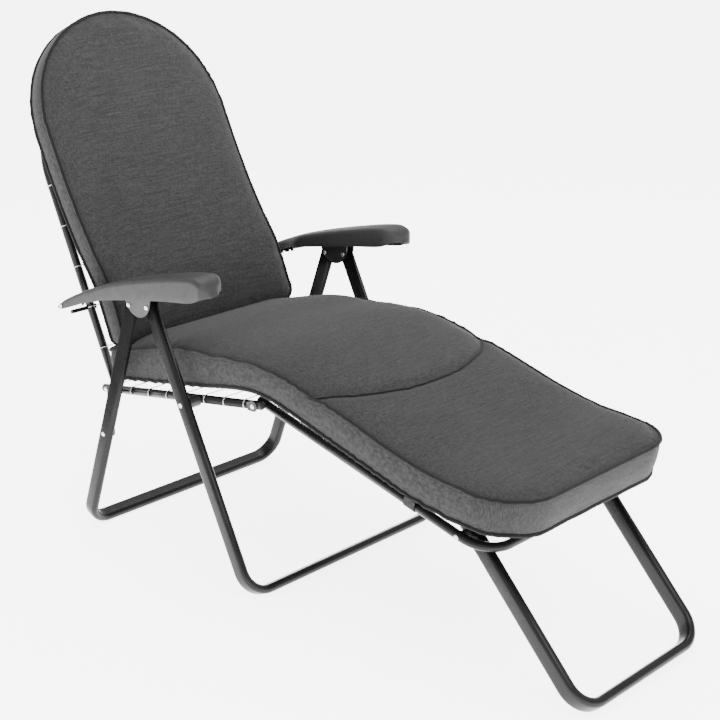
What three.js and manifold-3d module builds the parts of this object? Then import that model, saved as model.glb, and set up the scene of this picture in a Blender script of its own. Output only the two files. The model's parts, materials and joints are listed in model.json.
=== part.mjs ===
// Folding recliner chair: a padded back, seat and footrest on wire nets, carried by three U-shaped leg
// frames, with armrests whose racks hold the back. Millimetres, +Z up, the sitter faces -Y, and the
// origin is on the floor under the middle of the whole chair.
//
// Every member has a frame of its own: a group that stands at the member's pivot, with +Y along the
// member and +Z square to it. All pivots turn about X, so a member's holes are given by Y and Z alone.
import * as THREE from 'three';
import { mergeVertices } from 'three/addons/utils/BufferGeometryUtils.js';
import Module from 'manifold-3d';

const wasm = await Module();
wasm.setup();

// ---- Driving dimensions -------------------------------------------------------------------------
const gap = 0.3;                  // left between pieces that touch

// Tubes
const legTube = { depth: 35, thickness: 18, wall: 1.5 };      // flat-oval, wide face outwards
const footLegTube = { depth: 38, thickness: 19, wall: 1.5 };
const roundTube = { radius: 9, wall: 1.5 };
const legBend = 52;               // centre-line bend radius of every leg frame
const footFrameBend = 60;

// Fasteners and small steel
const shankRadius = 3;
const headRadius = 5.5;
const headHeight = 2.2;
const plateThickness = 2.5;
const linkWidth = 21;

// Distances from the middle plane: the legs' centre lines, and what follows from them
const legX = 280;
const legInnerX = legX - legTube.thickness / 2;
const legOuterX = legX + legTube.thickness / 2;
const railX = legInnerX - 36;
const innerTubeX = railX - 2 * roundTube.radius - 1;          // back and footrest tubes, inside the rails
const footLegX = innerTubeX - 35;
const armOuterX = legOuterX + 11;
const armInnerX = railX - 3;
const padWidth = 2 * (railX + 13);

// Side view
const seatLength = 498;           // footrest hinge to back hinge
const seatSlope = 9.5;            // the seat rises to the front
const footrestSlope = 13.9;       // the footrest falls to the front
const backSlope = 66.4;           // the back above the level, leaning to the rear
const railOverrun = 12;           // tube past each hinge
const seatPivot = 175;            // front leg pivot, behind the footrest hinge
const linkPivot = 450;            // link pivot, behind the footrest hinge
const hingeHeight = 415.2;        // footrest hinge above the floor
const frontLegLean = 25.2;        // from the vertical
const rearLegLean = 22;
const footLegLean = 42.6;
const legTopAboveSeat = 209;      // seat pivot to armrest pivot, along the front leg
const legSpread = { y: 59, z: -5 };   // front armrest pivot to rear armrest pivot
const linkRivetDrop = 344;        // rear armrest pivot to link rivet, along the rear leg
const footLegPivot = 525;         // footrest hinge to footrest leg pivot
const footFrameLength = 592;
const backFrameLength = 690;

// Wire nets
const wire = 2.2;
const netLift = roundTube.radius + 1.2;       // underside of a net above the tubes' centre lines

// Pads
const padThickness = 80;
const padLift = netLift + wire + gap;      // underside of the seat pad above the rails' centre lines
const backPadTop = 809;
const backPadThickness = 55;
const footPadLength = 660;
const footPadTip = { from: 430, rise: 42 };   // the last part lifts off the tubes towards its end

// Armrests
const armWall = 3.5;

// ---- Materials ----------------------------------------------------------------------------------
const frameSteel = new THREE.MeshStandardMaterial({ color: 0x2b2c2e, roughness: 0.42, metalness: 0.35 });
const armPlastic = new THREE.MeshStandardMaterial({ color: 0x4a4b4e, roughness: 0.55, metalness: 0 });
const blackPlastic = new THREE.MeshStandardMaterial({ color: 0x17181a, roughness: 0.5, metalness: 0 });
const zinc = new THREE.MeshStandardMaterial({ color: 0xc9cbcf, roughness: 0.3, metalness: 0.9 });
const padFabric = new THREE.MeshStandardMaterial({ color: 0x4c4d50, roughness: 0.9, metalness: 0 });

// ---- Solids -------------------------------------------------------------------------------------
const radians = THREE.MathUtils.degToRad;
const sides = [['left', 1], ['right', -1]];       // the sitter's left is +X

function toSolid(geometry) {
  const bare = geometry.index ? geometry.clone() : mergeVertices(geometry);
  bare.deleteAttribute('normal');
  bare.deleteAttribute('uv');
  const merged = mergeVertices(bare, 1e-4);
  return new wasm.Manifold(new wasm.Mesh({
    numProp: 3,
    vertProperties: new Float32Array(merged.attributes.position.array),
    triVerts: new Uint32Array(merged.index.array),
  }));
}

function toGeometry(solid) {
  const mesh = solid.getMesh();
  const geometry = new THREE.BufferGeometry();
  geometry.setAttribute('position', new THREE.BufferAttribute(new Float32Array(mesh.vertProperties), 3));
  geometry.setIndex(new THREE.BufferAttribute(new Uint32Array(mesh.triVerts), 1));
  geometry.computeVertexNormals();
  return geometry;
}

// A cylinder along X between two X values, at (y, z).
function pin(x0, x1, radius, y = 0, z = 0, segments = 16) {
  const geometry = new THREE.CylinderGeometry(radius, radius, Math.abs(x1 - x0), segments);
  geometry.rotateZ(Math.PI / 2);
  geometry.translate((x0 + x1) / 2, y, z);
  return geometry;
}

// Cuts clearance holes for rivet shanks right through a geometry, along X, at each [y, z].
function drill(geometry, holes, radius = shankRadius + gap) {
  let solid = toSolid(geometry);
  for (const [y, z] of holes) {
    solid = solid.subtract(toSolid(pin(-armOuterX - 20, armOuterX + 20, radius, y, z, 12)));
  }
  return toGeometry(solid);
}

// A closed side-view outline, given as a Shape in (y, z), made solid between two X values.
function slab(shape, x0, x1, curveSegments = 8) {
  const geometry = new THREE.ExtrudeGeometry(shape, {
    depth: Math.abs(x1 - x0), bevelEnabled: false, curveSegments,
  });
  geometry.applyMatrix4(new THREE.Matrix4().makeBasis(
    new THREE.Vector3(0, 1, 0), new THREE.Vector3(0, 0, 1), new THREE.Vector3(1, 0, 0)));
  geometry.translate(Math.min(x0, x1), 0, 0);
  return geometry;
}

function polygon(points) {
  return new THREE.Shape(points.map(([a, b]) => new THREE.Vector2(a, b)));
}

// A path of straight runs joined by round bends, in the XY plane. Its rings stand only at the ends of
// the straight runs and along the bends, so that a long straight tube costs few faces.
class BentPath extends THREE.Curve {
  constructor(corners, bend, ringsPerBend = 5) {
    super();
    this.points = [];
    this.tangents = [];
    const vectors = corners.map(([x, y]) => new THREE.Vector3(x, y, 0));
    vectors.forEach((corner, i) => {
      const before = vectors[i - 1];
      const after = vectors[i + 1];
      if (!before || !after) {
        const tangent = before ? corner.clone().sub(before) : after.clone().sub(corner);
        this.addRing(corner, tangent.normalize());
        return;
      }
      this.addBend(corner, before, after, bend, ringsPerBend);
    });
  }

  addRing(point, tangent) {
    this.points.push(point);
    this.tangents.push(tangent);
  }

  addBend(corner, before, after, bend, rings) {
    const into = corner.clone().sub(before).normalize();
    const out = after.clone().sub(corner).normalize();
    const turn = into.angleTo(out);
    const setback = bend * Math.tan(turn / 2);
    const inward = out.clone().sub(into.clone().multiplyScalar(into.dot(out))).normalize();
    const centre = corner.clone().addScaledVector(into, -setback).addScaledVector(inward, bend);
    for (let i = 0; i <= rings; i += 1) {
      const angle = (turn * i) / rings;
      const point = centre.clone()
        .addScaledVector(inward, -bend * Math.cos(angle))
        .addScaledVector(into, bend * Math.sin(angle));
      const tangent = into.clone().multiplyScalar(Math.cos(angle)).addScaledVector(inward, Math.sin(angle));
      this.addRing(point, tangent);
    }
  }

  get steps() {
    return this.points.length - 1;
  }

  getSpacedPoints() {
    return this.points.map((point) => point.clone());
  }

  getPoint(t) {
    return this.points[Math.round(t * this.steps)].clone();
  }

  getPointAt(u) {
    return this.getPoint(u);
  }

  getTangentAt(u) {
    return this.tangents[Math.round(u * this.steps)].clone();
  }
}

// A tube section, wide along the first axis: two half circles joined by flats, with its bore.
function tubeSection(depth, thickness, wall) {
  const outline = (shape, radius, half) => {
    shape.absarc(half, 0, radius, -Math.PI / 2, Math.PI / 2, false);
    shape.absarc(-half, 0, radius, Math.PI / 2, (3 * Math.PI) / 2, false);
    return shape;
  };
  const half = (depth - thickness) / 2;
  const shape = outline(new THREE.Shape(), thickness / 2, half);
  shape.holes.push(outline(new THREE.Path(), thickness / 2 - wall, half));
  return shape;
}

function bentTube(section, path) {
  const shape = tubeSection(section.depth, section.thickness, section.wall);
  return new THREE.ExtrudeGeometry(shape, { steps: path.steps, curveSegments: 5, extrudePath: path });
}

const roundSection = { depth: 2 * roundTube.radius, thickness: 2 * roundTube.radius, wall: roundTube.wall };

// ---- Scene helpers ------------------------------------------------------------------------------
const chair = new THREE.Group();

// A member's frame: its origin at (y, z) in its parent's frame, turned about X by an angle in degrees.
function member(parent, y, z, angle) {
  const group = new THREE.Group();
  group.position.set(0, y, z);
  group.rotation.x = radians(angle);
  parent.add(group);
  return group;
}

function piece(parent, name, geometry, material) {
  const mesh = new THREE.Mesh(geometry, material);
  mesh.name = name;
  parent.add(mesh);
  return mesh;
}

// A rivet along X between two X values, with a domed head outside each end.
function rivet(parent, name, side, inner, outer, y = 0, z = 0) {
  const [low, high] = [inner - gap, outer + gap];
  const profile = [
    [0, low - headHeight], [headRadius * 0.7, low - headHeight], [headRadius, low - headHeight * 0.3],
    [headRadius, low], [shankRadius, low], [shankRadius, high], [headRadius, high],
    [headRadius, high + headHeight * 0.3], [headRadius * 0.7, high + headHeight], [0, high + headHeight],
  ];
  const geometry = new THREE.LatheGeometry(profile.map(([r, a]) => new THREE.Vector2(r, a)), 12);
  geometry.rotateZ(-Math.PI / 2);
  if (side < 0) geometry.rotateY(Math.PI);
  const solid = toGeometry(toSolid(geometry));
  solid.translate(0, y, z);
  return piece(parent, name, solid, zinc);
}

// A tubular spacer along X between two X values.
function spacer(parent, name, side, inner, outer, radius, y, z, material) {
  const body = toSolid(pin(side * (inner + gap), side * (outer - gap), radius, y, z, 20));
  const bore = toSolid(pin(side * inner, side * outer, shankRadius + gap, y, z, 12));
  return piece(parent, name, toGeometry(body.subtract(bore)), material);
}

// The two edges of each wire in a row of evenly spaced wires.
function wireEdges(from, to, count) {
  const edges = [];
  for (let i = 0; i <= count; i += 1) {
    const at = from + ((to - from) * i) / count;
    edges.push(at - wire / 2, at + wire / 2);
  }
  return edges;
}

// A flat grille of wires, with hooks that lie over the tubes on both sides. The wires' edges divide it
// into rectangles, each either full or empty, and every full one brings its own faces.
function net(parent, name, { halfWidth, from, to, hookReach, columns, rows }) {
  const xs = [-hookReach, ...wireEdges(-halfWidth, halfWidth, columns), hookReach];
  const ys = wireEdges(from, to, rows);
  const full = (i, j) => {
    const inside = i >= 0 && j >= 0 && i < xs.length - 1 && j < ys.length - 1;
    if (!inside) return false;
    const hooks = i === 0 || i === xs.length - 2;
    const alongWire = i % 2 === 1;
    const acrossWire = j % 2 === 0;
    const endWire = j === 0 || j === ys.length - 2;
    return hooks ? acrossWire && !endWire : alongWire || acrossWire;
  };
  const [low, high] = [netLift, netLift + wire];
  const corners = [];
  const quad = (a, b, c, d) => corners.push(...a, ...b, ...c, ...a, ...c, ...d);
  for (let i = 0; i < xs.length - 1; i += 1) {
    for (let j = 0; j < ys.length - 1; j += 1) {
      if (!full(i, j)) continue;
      const [x0, x1, y0, y1] = [xs[i], xs[i + 1], ys[j], ys[j + 1]];
      quad([x0, y0, high], [x1, y0, high], [x1, y1, high], [x0, y1, high]);
      quad([x0, y0, low], [x0, y1, low], [x1, y1, low], [x1, y0, low]);
      if (!full(i - 1, j)) quad([x0, y0, low], [x0, y0, high], [x0, y1, high], [x0, y1, low]);
      if (!full(i + 1, j)) quad([x1, y0, low], [x1, y1, low], [x1, y1, high], [x1, y0, high]);
      if (!full(i, j - 1)) quad([x0, y0, low], [x1, y0, low], [x1, y0, high], [x0, y0, high]);
      if (!full(i, j + 1)) quad([x0, y1, low], [x0, y1, high], [x1, y1, high], [x1, y1, low]);
    }
  }
  const geometry = new THREE.BufferGeometry();
  geometry.setAttribute('position', new THREE.BufferAttribute(new Float32Array(corners), 3));
  geometry.computeVertexNormals();
  return piece(parent, name, geometry, zinc);
}

// ---- Seat ---------------------------------------------------------------------------------------
// Frame at the footrest hinge, +Y to the rear along the rails, +Z up.
const seat = member(chair, 0, hingeHeight, -seatSlope);
const railInnerX = railX - roundTube.radius;
const railOuterX = railX + roundTube.radius;
const innerTubeOuterX = innerTubeX + roundTube.radius;
const innerTubeInnerX = innerTubeX - roundTube.radius;
const linkOuterX = legInnerX - headHeight - 3 * gap;         // clear of the leg and of both rivet heads
const linkInnerX = linkOuterX - plateThickness;
const netHalfWidth = innerTubeInnerX - 3;
const plugCap = 7;                // how far a rail's end plug stands out

function seatRail(side, name) {
  const path = new BentPath([[0, -railOverrun], [0, seatLength + railOverrun]], 0);
  const tube = bentTube(roundSection, path);
  const holes = [[0, 0], [seatPivot, 0], [linkPivot, 0], [seatLength, 0]];
  const mesh = piece(seat, `seat_rail_${name}`, drill(tube, holes), frameSteel);
  mesh.position.x = side * railX;
}

function railPlug(side, name, end, y, direction) {
  const shape = [
    [0, -14], [roundTube.radius - roundTube.wall - gap, -14], [roundTube.radius - roundTube.wall - gap, gap],
    [roundTube.radius, gap], [roundTube.radius, 3], [roundTube.radius * 0.75, 6], [0, plugCap],
  ];
  const geometry = new THREE.LatheGeometry(shape.map(([r, a]) => new THREE.Vector2(r, a)), 16);
  if (direction < 0) geometry.rotateX(Math.PI);
  let solid = toSolid(geometry);
  const pivot = -direction * railOverrun;
  solid = solid.subtract(toSolid(pin(-20, 20, shankRadius + gap, pivot, 0, 12)));
  const mesh = piece(seat, `seat_rail_plug_${end}_${name}`, toGeometry(solid), blackPlastic);
  mesh.position.set(side * railX, y, 0);
}

function hingePlate(side, name) {
  const reach = 17;
  const width = roundTube.radius + 2;
  const outline = new THREE.Shape();
  outline.absarc(0, 0, width, Math.PI / 2, (3 * Math.PI) / 2, false);
  outline.lineTo(reach, -width * 0.7);
  outline.lineTo(reach, width * 0.7);
  const plate = slab(outline, side * (railOuterX + gap), side * (railOuterX + gap + plateThickness));
  piece(seat, `footrest_hinge_plate_${name}`, drill(plate, [[0, 0]]), blackPlastic);
}

for (const [name, side] of sides) {
  seatRail(side, name);
  railPlug(side, name, 'front', -railOverrun, -1);
  railPlug(side, name, 'rear', seatLength + railOverrun, 1);
  hingePlate(side, name);
  spacer(seat, `front_leg_spacer_${name}`, side, railOuterX, legInnerX, roundTube.radius + 3, seatPivot, 0,
    blackPlastic);
  spacer(seat, `link_spacer_${name}`, side, railOuterX, linkInnerX, 8, linkPivot, 0, blackPlastic);
  rivet(seat, `front_leg_rivet_${name}`, side, railInnerX, legOuterX, seatPivot);
  rivet(seat, `link_upper_rivet_${name}`, side, railInnerX, linkOuterX, linkPivot);
  rivet(seat, `back_hinge_rivet_${name}`, side, innerTubeInnerX, railOuterX, seatLength);
  rivet(seat, `footrest_hinge_rivet_${name}`, side, innerTubeInnerX,
    railOuterX + gap + plateThickness, 0);
}
net(seat, 'seat_net', {
  halfWidth: netHalfWidth, from: 22, to: seatLength - 26, hookReach: railX, columns: 6, rows: 7,
});

const padHalf = padWidth / 2;
const padTop = padLift + padThickness;

// The seat pad's front face leans back, and the footrest pad's end meets it.
const padSplit = { bottom: -2, top: 70 };
const seatPadRear = seatLength - 20;
const seatPadOutline = polygon([
  [padSplit.bottom, padLift], [seatPadRear, padLift], [seatPadRear, padTop], [padSplit.top, padTop],
]);

// Both pads are hollowed underneath along the footrest hinge, where the tube ends turn.
const hingeHollow = Math.hypot(railOverrun + plugCap, roundTube.radius) + 1;

function hollowed(solid) {
  return toGeometry(solid.subtract(toSolid(pin(-padWidth, padWidth, hingeHollow, 0, 0, 24))));
}

piece(seat, 'seat_cushion', hollowed(toSolid(slab(seatPadOutline, -padHalf, padHalf))), padFabric);

// ---- Leg frames ---------------------------------------------------------------------------------
// A U of tube in its own XY plane, its crossbar centred at y = -drop and its legs rising to a pivot at
// y = rise, where each top is rounded about the pivot.
function legFrame(parent, name, section, halfWidth, drop, rise, holes) {
  const radius = section.depth / 2;
  const top = rise + radius;
  const corners = [[-halfWidth, top], [-halfWidth, -drop], [halfWidth, -drop], [halfWidth, top]];
  const tube = bentTube(section, new BentPath(corners, legBend));
  const envelope = new THREE.Shape();
  envelope.absarc(rise, 0, radius + gap, -Math.PI / 2, Math.PI / 2, false);
  envelope.lineTo(-drop - radius, radius + gap);
  envelope.lineTo(-drop - radius, -radius - gap);
  const rounded = toSolid(tube).intersect(toSolid(slab(envelope, -armOuterX, armOuterX, 10)));
  return piece(parent, name, drill(toGeometry(rounded), holes), frameSteel);
}

// How high a leaning leg frame's crossbar centre lies when its underside is on the floor.
function crossbarHeight(section, lean) {
  return ((section.depth - section.thickness) / 2) * Math.sin(radians(lean)) + section.thickness / 2;
}

const seatPivotHeight = hingeHeight - seatPivot * Math.sin(radians(seatSlope));
const frontDrop = (seatPivotHeight - crossbarHeight(legTube, frontLegLean)) / Math.cos(radians(frontLegLean));
const frontLegs = member(seat, seatPivot, 0, 90 - frontLegLean + seatSlope);
legFrame(frontLegs, 'front_leg_frame', legTube, legX, frontDrop, legTopAboveSeat,
  [[0, 0], [legTopAboveSeat, 0]]);

// ---- Armrests -----------------------------------------------------------------------------------
// Frame at the front armrest pivot, level with the floor: +Y to the rear, +Z up.
const armrests = member(frontLegs, legTopAboveSeat, 0, frontLegLean - 90);

// The armrest's side outline: a crowned top, a round nose and a thin rounded tail. With an inset it is
// the outline of the hollow inside, which runs out through the open underside.
const armTop = [[-152, 90], [-61, 74], [93, 37], [205, -2], [292, -42]];
const armBottom = [[285, -58], [209, -30], [125, -7], [-56, 26], [-150, 40]];
const armNose = { y: -194, z: 56 };
const armTail = { y: 295, z: -51, radius: 9 };

function armOutline(inset) {
  const shape = new THREE.Shape();
  const below = inset ? 20 : 0;
  const lower = armBottom.map(([y, z]) => new THREE.Vector2(y, z - below));
  const upper = armTop.map(([y, z]) => new THREE.Vector2(y, z - inset));
  shape.moveTo(lower[0].x, lower[0].y);
  shape.splineThru(lower.slice(1));
  shape.lineTo(armNose.y + inset * 1.5, armNose.z - below);
  shape.quadraticCurveTo(armNose.y + inset * 1.2, armTop[0][1] - inset, upper[0].x, upper[0].y);
  shape.splineThru(upper.slice(1));
  if (!inset) {
    shape.absarc(armTail.y, armTail.z, armTail.radius, Math.PI / 2, -Math.PI / 2, true);
  }
  return shape;
}

// The armrest seen from above: wide in front, drawn in past the bracket so that the back clears it.
// The hollow stops short of the tail, which is solid.
const armPlan = { wideTo: 110, narrowFrom: 170, narrowInset: 19, tailFrom: 250, tailInset: 26 };

function armPlanShape(inset) {
  const inner = armInnerX + inset;
  const outer = armOuterX - inset;
  const end = armTail.y + (inset ? -6 * inset : 20);
  return polygon([
    [outer, end], [outer, armNose.y + 14], [outer - 12, armNose.y],
    [inner + 22, armNose.y + 10], [inner, armNose.y + 34], [inner, armPlan.wideTo],
    [inner + armPlan.narrowInset, armPlan.narrowFrom],
    [inner + armPlan.tailInset, armPlan.tailFrom],
    [inner + armPlan.tailInset, end],
  ]);
}

function armSolid(inset) {
  const sideView = toSolid(slab(armOutline(inset), armInnerX - 10, armOuterX + 10, 6));
  const plan = new THREE.ExtrudeGeometry(armPlanShape(inset), { depth: 260, bevelEnabled: false });
  plan.translate(0, 0, -130);
  return sideView.intersect(toSolid(plan));
}

const tailRivet = [armTail.y - 2, armTail.z];
const rearPivot = [legSpread.y, legSpread.z];

function armrest(side, name) {
  const shell = armSolid(0).subtract(armSolid(armWall));
  const geometry = toGeometry(side > 0 ? shell : shell.mirror([1, 0, 0]));
  return piece(armrests, `armrest_${name}`, drill(geometry, [tailRivet]), armPlastic);
}

// Half-round plates on both sides of the leg tops.
const bracket = { y: 29.5, z: 16, radius: 42, rise: 16 };

function bracketPlate(side, name, inner) {
  const shape = new THREE.Shape();
  shape.absarc(bracket.y, bracket.z, bracket.radius, Math.PI, 2 * Math.PI, false);
  shape.lineTo(bracket.y + bracket.radius, bracket.z + bracket.rise - 8);
  shape.lineTo(bracket.y - bracket.radius, bracket.z + bracket.rise);
  const plate = slab(shape, side * inner, side * (inner + plateThickness), 14);
  return piece(armrests, name, drill(plate, [[0, 0], rearPivot]), armPlastic);
}

// The notched steel strip under the tail of the armrest that the back's pin hooks into.
const rack = {
  from: 160, to: 268, inner: legInnerX - 9, thickness: 3, below: 3, above: 12, notch: 5, pitch: 21,
};

function rackStrip(side, name) {
  const bottomCurve = new THREE.SplineCurve(armBottom.map(([y, z]) => new THREE.Vector2(y, z)));
  const edge = [];
  for (let i = 0; i <= 60; i += 1) {
    const point = bottomCurve.getPoint(i / 60);
    if (point.x >= rack.from && point.x <= rack.to) edge.push(point);
  }
  const lower = edge.map((p) => [p.x, p.y - rack.below]);
  const upper = edge.map((p) => [p.x, p.y + rack.above]).reverse();
  const outline = polygon([...lower, ...upper]);
  let solid = toSolid(slab(outline, side * rack.inner, side * (rack.inner + rack.thickness)));
  for (let y = rack.from + rack.pitch / 2; y < rack.to; y += rack.pitch) {
    const nearest = edge.reduce((best, p) => (Math.abs(p.x - y) < Math.abs(best.x - y) ? p : best));
    const notch = pin(-armOuterX, armOuterX, rack.notch, y, nearest.y - rack.below, 12);
    solid = solid.subtract(toSolid(notch));
  }
  return piece(armrests, `recline_rack_${name}`, toGeometry(solid), frameSteel);
}

for (const [name, side] of sides) {
  armrest(side, name);
  bracketPlate(side, `armrest_bracket_outer_${name}`, legOuterX + gap);
  bracketPlate(side, `armrest_bracket_inner_${name}`, legInnerX - gap - plateThickness);
  rackStrip(side, name);
  const [low, high] = [legInnerX - gap - plateThickness, legOuterX + gap + plateThickness];
  rivet(armrests, `armrest_front_rivet_${name}`, side, low, high, 0, 0);
  rivet(armrests, `armrest_rear_rivet_${name}`, side, low, high, ...rearPivot);
  rivet(armrests, `armrest_tail_rivet_${name}`, side, armInnerX + armPlan.tailInset, armOuterX, ...tailRivet);
}

// ---- Rear legs ----------------------------------------------------------------------------------
const rearLegs = member(armrests, ...rearPivot, 90 + rearLegLean);
const hinge = new THREE.Vector2(0, hingeHeight);
const along = (degrees, length) => new THREE.Vector2(Math.cos(radians(degrees)), Math.sin(radians(degrees)))
  .multiplyScalar(length);
const seatPivotPoint = hinge.clone().add(along(-seatSlope, seatPivot));
const frontTop = seatPivotPoint.clone().add(along(90 - frontLegLean, legTopAboveSeat));
const rearTop = frontTop.clone().add(new THREE.Vector2(...rearPivot));
const rearDrop = (rearTop.y - crossbarHeight(legTube, rearLegLean)) / Math.cos(radians(rearLegLean));
legFrame(rearLegs, 'rear_leg_frame', legTube, legX, rearDrop, 0, [[0, 0], [-linkRivetDrop, 0]]);

// ---- Links from the seat rails to the rear legs ------------------------------------------------
const linkTop = hinge.clone().add(along(-seatSlope, linkPivot));
const linkFoot = rearTop.clone().add(along(-90 + rearLegLean, linkRivetDrop));
const linkLength = linkTop.distanceTo(linkFoot);
const linkAngle = THREE.MathUtils.radToDeg(Math.atan2(linkFoot.y - linkTop.y, linkFoot.x - linkTop.x));
const links = member(seat, linkPivot, 0, linkAngle + seatSlope);

for (const [name, side] of sides) {
  const shape = new THREE.Shape();
  shape.absarc(0, 0, linkWidth / 2, Math.PI / 2, (3 * Math.PI) / 2, false);
  shape.absarc(linkLength, 0, linkWidth / 2, -Math.PI / 2, Math.PI / 2, false);
  const bar = slab(shape, side * linkInnerX, side * linkOuterX, 10);
  piece(links, `seat_link_${name}`, drill(bar, [[0, 0], [linkLength, 0]]), frameSteel);
  rivet(rearLegs, `link_lower_rivet_${name}`, side, legInnerX, legOuterX, -linkRivetDrop);
}

// ---- Back ---------------------------------------------------------------------------------------
// Frame at the back hinge, +Y up the back, +Z to the front.
const back = member(seat, seatLength, 0, backSlope + seatSlope);
const reclinePin = { along: 183, radius: 4.5, reach: legInnerX - 4 };

function archFrame(parent, name, length, bend, rings, holes) {
  const corners = [[-innerTubeX, -railOverrun], [-innerTubeX, length], [innerTubeX, length],
    [innerTubeX, -railOverrun]];
  const tube = bentTube(roundSection, new BentPath(corners, bend, rings));
  return piece(parent, name, drill(tube, holes), frameSteel);
}

archFrame(back, 'back_frame', backFrameLength, innerTubeX - 2, 9, [[0, 0], [reclinePin.along, 0]]);
net(back, 'back_net', {
  halfWidth: netHalfWidth - 12, from: 40, to: 472, hookReach: innerTubeX, columns: 5, rows: 7,
});

for (const [name, side] of sides) {
  const profile = [
    [0, innerTubeInnerX - 3], [6, innerTubeInnerX - 3], [6, innerTubeInnerX - gap],
    [shankRadius, innerTubeInnerX - gap], [shankRadius, innerTubeOuterX + gap],
    [reclinePin.radius, innerTubeOuterX + gap], [reclinePin.radius, reclinePin.reach], [0, reclinePin.reach],
  ];
  const geometry = new THREE.LatheGeometry(profile.map(([r, a]) => new THREE.Vector2(r, a)), 16);
  geometry.rotateZ(-Math.PI / 2);
  if (side < 0) geometry.rotateY(Math.PI);
  geometry.translate(0, reclinePin.along, 0);
  piece(back, `recline_pin_${name}`, toGeometry(toSolid(geometry)), frameSteel);
}

// The back pad: an arched outline from the front. From the side it stands on the seat pad, forward of
// the tubes, and its middle bulges back between the tubes onto the net.
const backPadFace = { low: 134, high: 96, lowTo: 215, highFrom: 486 };
const backPadBulge = { halfWidth: innerTubeX - 70, from: 330, to: backFrameLength - 110 };

function backCushion() {
  const front = new THREE.Shape();
  front.moveTo(-padHalf, 0);
  front.lineTo(padHalf, 0);
  front.absarc(0, backPadTop - padHalf, padHalf, 0, Math.PI, false);
  const outline = new THREE.ExtrudeGeometry(front, { depth: 200, bevelEnabled: false, curveSegments: 20 });
  // The underside runs parallel to the seat pad's top.
  const bend = radians(backSlope + seatSlope);
  const restOn = (z) => (padTop + gap - z * Math.cos(bend)) / Math.sin(bend);
  const { low, high, lowTo, highFrom } = backPadFace;
  const past = backPadTop + 5;
  const rear = (z) => z - backPadThickness;
  const wide = slab(polygon([
    [restOn(rear(low)), rear(low)], [lowTo, rear(low)], [highFrom, rear(high)], [past, rear(high)],
    [past, high], [highFrom, high], [lowTo, low], [restOn(low), low],
  ].reverse()), -padHalf - 5, padHalf + 5);
  const { halfWidth, from, to } = backPadBulge;
  const bulge = slab(polygon([
    [from - 60, rear(low)], [from, padLift], [to, padLift], [to + 20, rear(high) + 10],
    [from, rear(low) + 10],
  ].reverse()), -halfWidth, halfWidth);
  return toGeometry(toSolid(outline).intersect(toSolid(wide).add(toSolid(bulge))));
}
piece(back, 'back_cushion', backCushion(), padFabric);

// ---- Footrest -----------------------------------------------------------------------------------
// Frame at the footrest hinge, +Y to the rear along the footrest, +Z up.
const footrest = member(seat, 0, 0, footrestSlope + seatSlope);
const footNetEnd = 89 - footLegPivot;

function footrestFrame() {
  const corners = [[-innerTubeX, railOverrun], [-innerTubeX, -footFrameLength],
    [innerTubeX, -footFrameLength], [innerTubeX, railOverrun]];
  const tube = bentTube(roundSection, new BentPath(corners, footFrameBend));
  piece(footrest, 'footrest_frame', drill(tube, [[0, 0], [-footLegPivot, 0]]), frameSteel);
}

// A point of the seat's side view in the footrest's frame.
function seatToFootrest(y, z) {
  const turn = -radians(footrestSlope + seatSlope);
  return [y * Math.cos(turn) - z * Math.sin(turn), y * Math.sin(turn) + z * Math.cos(turn)];
}

function footrestCushion() {
  const seamGap = 1.5;
  const low = seatToFootrest(padSplit.bottom - seamGap, padLift);
  const high = seatToFootrest(padSplit.top - seamGap, padTop);
  // Past the net the underside is hollowed, so that the leg tops turn clear of it.
  const reliefFrom = footNetEnd - 12;
  const reliefLift = footLegTube.depth / 2 + 2;
  const radius = 90;
  const outline = new THREE.Shape();
  outline.moveTo(-padHalf, 120);
  outline.lineTo(-padHalf, -footPadLength + radius);
  outline.absarc(-padHalf + radius, -footPadLength + radius, radius, Math.PI, 1.5 * Math.PI, false);
  outline.absarc(padHalf - radius, -footPadLength + radius, radius, 1.5 * Math.PI, 2 * Math.PI, false);
  outline.lineTo(padHalf, 120);
  const plan = new THREE.ExtrudeGeometry(outline, { depth: 200, bevelEnabled: false, curveSegments: 8 });
  plan.translate(0, 0, -50);
  const sideView = slab(polygon([
    [low[0], low[1]], [reliefFrom, padLift], [reliefFrom - 12, reliefLift],
    [-footPadLength - 5, reliefLift + footPadTip.rise], [-footPadLength - 5, padTop + footPadTip.rise],
    [-footPadTip.from, padTop], [-40, padTop], [high[0], high[1]],
  ].reverse()), -padHalf - 5, padHalf + 5);
  piece(footrest, 'footrest_cushion', hollowed(toSolid(plan).intersect(toSolid(sideView))), padFabric);
}

// A fabric tab sewn to the pad, wrapped under the side tube.
const strap = { at: footNetEnd + 28, width: 26, thickness: 1.6 };

function cushionStrap(side, name) {
  const inner = roundTube.radius + gap;
  const outer = inner + strap.thickness;
  const shape = new THREE.Shape();
  shape.moveTo(outer, netLift + wire);
  shape.absarc(0, 0, outer, 0, -Math.PI, true);
  shape.lineTo(-outer, netLift + wire);
  shape.lineTo(-inner, netLift + wire);
  shape.absarc(0, 0, inner, -Math.PI, 0, false);
  shape.lineTo(inner, netLift + wire);
  const geometry = new THREE.ExtrudeGeometry(shape, {
    depth: strap.width, bevelEnabled: false, curveSegments: 10,
  });
  geometry.rotateX(Math.PI / 2);
  geometry.translate(side * innerTubeX, strap.at + strap.width / 2, 0);
  piece(footrest, `cushion_strap_${name}`, geometry, padFabric);
}

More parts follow.
